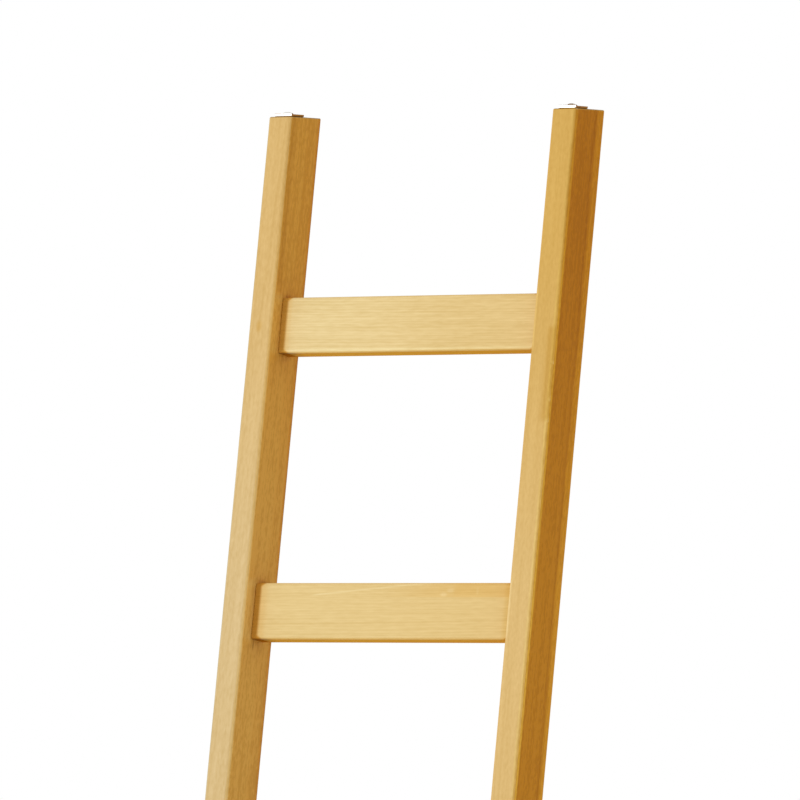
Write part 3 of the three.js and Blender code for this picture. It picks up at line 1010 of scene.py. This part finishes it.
def shank(start, end):
    """Rings of a shank from its point, at the height end, up to its head. Their heights count from start."""
    point = (end - start, circle(SCREW_POINT_R, SCREW_SIDES))
    neck = (0, circle(SCREW_ROOT_R, SCREW_SIDES))
    return [point, *((height - start, ring) for height, ring in reversed(threaded(start, end))), neck]


def cross_cutter(top):
    """Two crossed wedges that cut a cross recess."""
    cutters = []
    for turn in (0, math.pi / 2):
        blade = board("blade", 2 * CROSS_REACH, CROSS_W, top - CROSS_DEPTH, top + CROSS_DEPTH,
                      CROSS_W / 4, CROSS_W / 8)
        for vertex in blade.data.vertices:
            up = (vertex.co.z - top + CROSS_DEPTH) / CROSS_DEPTH
            vertex.co.x *= min(1, CROSS_TAPER + (1 - CROSS_TAPER) * up)
        blade.data.transform(Matrix.Rotation(turn, 4, "Z"))
        cutters.append(blade)
    return cutters


def build_pan_screw(name, material):
    """A domed head on a threaded shank. Its own height 0 is the underside of the head."""
    node = f"top_plate_screw_{name}"
    low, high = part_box(node)
    head_r = (high.x - low.x) / 2
    under = high.z - PAN_HEAD_H
    head = [(0, head_r - PAN_EASE_IN), (PAN_EASE_UP, head_r), (PAN_RIM_H, head_r)]
    for step in range(1, DOME_STEPS):
        angle = math.pi / 2 * step / DOME_STEPS
        height = PAN_RIM_H + (PAN_HEAD_H - PAN_RIM_H) * math.sin(angle)
        head.append((height, head_r * math.cos(angle) ** PAN_FULLNESS))
    head.append((PAN_HEAD_H, head_r * PAN_CROWN))
    rings = shank(under, low.z) + [(height, circle(radius, SCREW_SIDES)) for height, radius in head]
    screw = new_object(f"{node}_body", *skin(rings))
    carve(screw, cross_cutter(PAN_HEAD_H))
    centre = middle(node)
    place = Matrix.Translation((centre.x, centre.y, under))
    finish_piece(screw, place, material, "screw_steel", node)


def build_sunk_screw(name, end, material):
    """Its flat head is down: it is made head up, with the top of the head at 0, and turned over."""
    node = f"foot_screw_{name}_{end}"
    low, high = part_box(node)
    head_r = (high.x - low.x) / 2
    neck, point = -SUNK_HEAD_H, low.z - high.z
    rings = [(height + neck, ring) for height, ring in shank(neck, point)]
    rings.append((-SUNK_EASE_DOWN, circle(head_r, SCREW_SIDES)))
    rings.append((0, circle(head_r - SUNK_EASE_IN, SCREW_SIDES)))
    screw = new_object(f"{node}_body", *skin(rings))
    carve(screw, cross_cutter(0))
    centre = middle(node)
    place = Matrix.Translation((centre.x, centre.y, low.z)) @ Matrix.Rotation(math.pi, 4, "X")
    finish_piece(screw, place, material, "screw_steel", node)


def dress_dowels(material):
    """The dowels keep their CAD shape."""
    for node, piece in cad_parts.items():
        if node.startswith("dowel_"):
            piece.data.materials.clear()
            piece.data.materials.append(material)


# Camera, light and floor
def add_camera():
    target = middle(RUNGS[-1])
    data = bpy.data.cameras.new("camera")
    data.sensor_width = SENSOR_MM
    data.lens = FOCAL_PX / IMAGE_PX * SENSOR_MM
    data.clip_end = CAMERA_CLIP_END
    camera = bpy.data.objects.new("camera", data)
    away = Vector((math.sin(CAMERA_AZIMUTH), -math.cos(CAMERA_AZIMUTH), 0)) * CAMERA_DISTANCE
    camera.location = target + away - Vector((0, 0, CAMERA_DROP))
    camera.rotation_euler = (math.pi / 2 + CAMERA_PITCH, 0, CAMERA_AZIMUTH + CAMERA_YAW_OFF)
    bpy.context.scene.collection.objects.link(camera)
    bpy.context.scene.camera = camera


def add_key_light():
    """A soft round lamp to the left of the ladder's front, aimed at the rung below the top one."""
    target = middle(RUNGS[-2])
    data = bpy.data.lights.new("key", "AREA")
    data.shape = "DISK"
    data.size = KEY_SIZE
    data.energy = KEY_POWER
    key = bpy.data.objects.new("key", data)
    level = math.cos(KEY_HEIGHT)
    way = Vector((math.sin(KEY_AZIMUTH) * level, -math.cos(KEY_AZIMUTH) * level, math.sin(KEY_HEIGHT)))
    key.location = target + way * KEY_DISTANCE
    key.rotation_euler = way.to_track_quat("Z", "Y").to_euler()
    bpy.context.scene.collection.objects.link(key)


def add_world():
    """White where the camera, gloss or glass looks at it, and a soft fill light for the rest."""
    world = bpy.data.worlds.new("studio")
    bpy.context.scene.world = world
    world.use_nodes = True
    tree = world.node_tree
    background = tree.nodes["Background"]
    background.inputs["Color"].default_value = (1, 1, 1, 1)
    path = tree.nodes.new("ShaderNodeLightPath")
    seen = path.outputs["Is Camera Ray"]
    for other in ("Is Glossy Ray", "Is Transmission Ray"):
        either = tree.nodes.new("ShaderNodeMath")
        either.operation = "MAXIMUM"
        tree.links.new(seen, either.inputs[0])
        tree.links.new(path.outputs[other], either.inputs[1])
        seen = either.outputs[0]
    level = tree.nodes.new("ShaderNodeMapRange")
    level.inputs["To Min"].default_value = FILL_LEVEL
    tree.links.new(seen, level.inputs["Value"])
    tree.links.new(level.outputs["Result"], background.inputs["Strength"])


def add_floor():
    corners = [(-FLOOR_REACH, -FLOOR_REACH, 0), (FLOOR_REACH, -FLOOR_REACH, 0),
               (FLOOR_REACH, FLOOR_REACH, 0), (-FLOOR_REACH, FLOOR_REACH, 0)]
    floor = new_object("floor", corners, [(0, 1, 2, 3)])
    g = Graph("floor_paint")
    point = g.add("ShaderNodeTexCoord", {}).outputs["Object"]
    speckle = g.noise(point, (40, 40, 40), 3, 1)
    tone = g.mix(speckle, linear(238, 237, 234), linear(243, 242, 240))
    g.feed(g.shader, {"Base Color": tone, "Roughness": 0.8, "Specular IOR Level": 0.2})
    floor.data.materials.append(g.material)


def main():
    add_camera()
    add_key_light()
    add_world()
    add_floor()
    lip_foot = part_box("top_plate_left")[0].z + PLATE_T
    plate_steel = steel("plate_steel", lip_foot=lip_foot, **STEELS["plate_steel"])
    screw_steel = steel("screw_steel", **STEELS["screw_steel"])
    highlit_steel = steel("highlit_steel", **STEELS["highlit_steel"])
    # The left screw's head takes the lighter copy, a painted highlight
    pan_steels = {"left": highlit_steel, "right": screw_steel}
    pad_rubber = rubber()
    bare_dowel = dowel_wood()
    for name in SIDES:
        build_rail(name)
        build_plate(name, plate_steel)
        build_pan_screw(name, pan_steels[name])
        build_pad(name, pad_rubber)
        for end in ("front", "back"):
            build_sunk_screw(name, end, screw_steel)
    for number in range(1, len(RUNGS) + 1):
        build_rung(number)
    dress_dowels(bare_dowel)
    bpy.context.scene.view_settings.view_transform = "Standard"
    bpy.context.view_layer.update()


main()
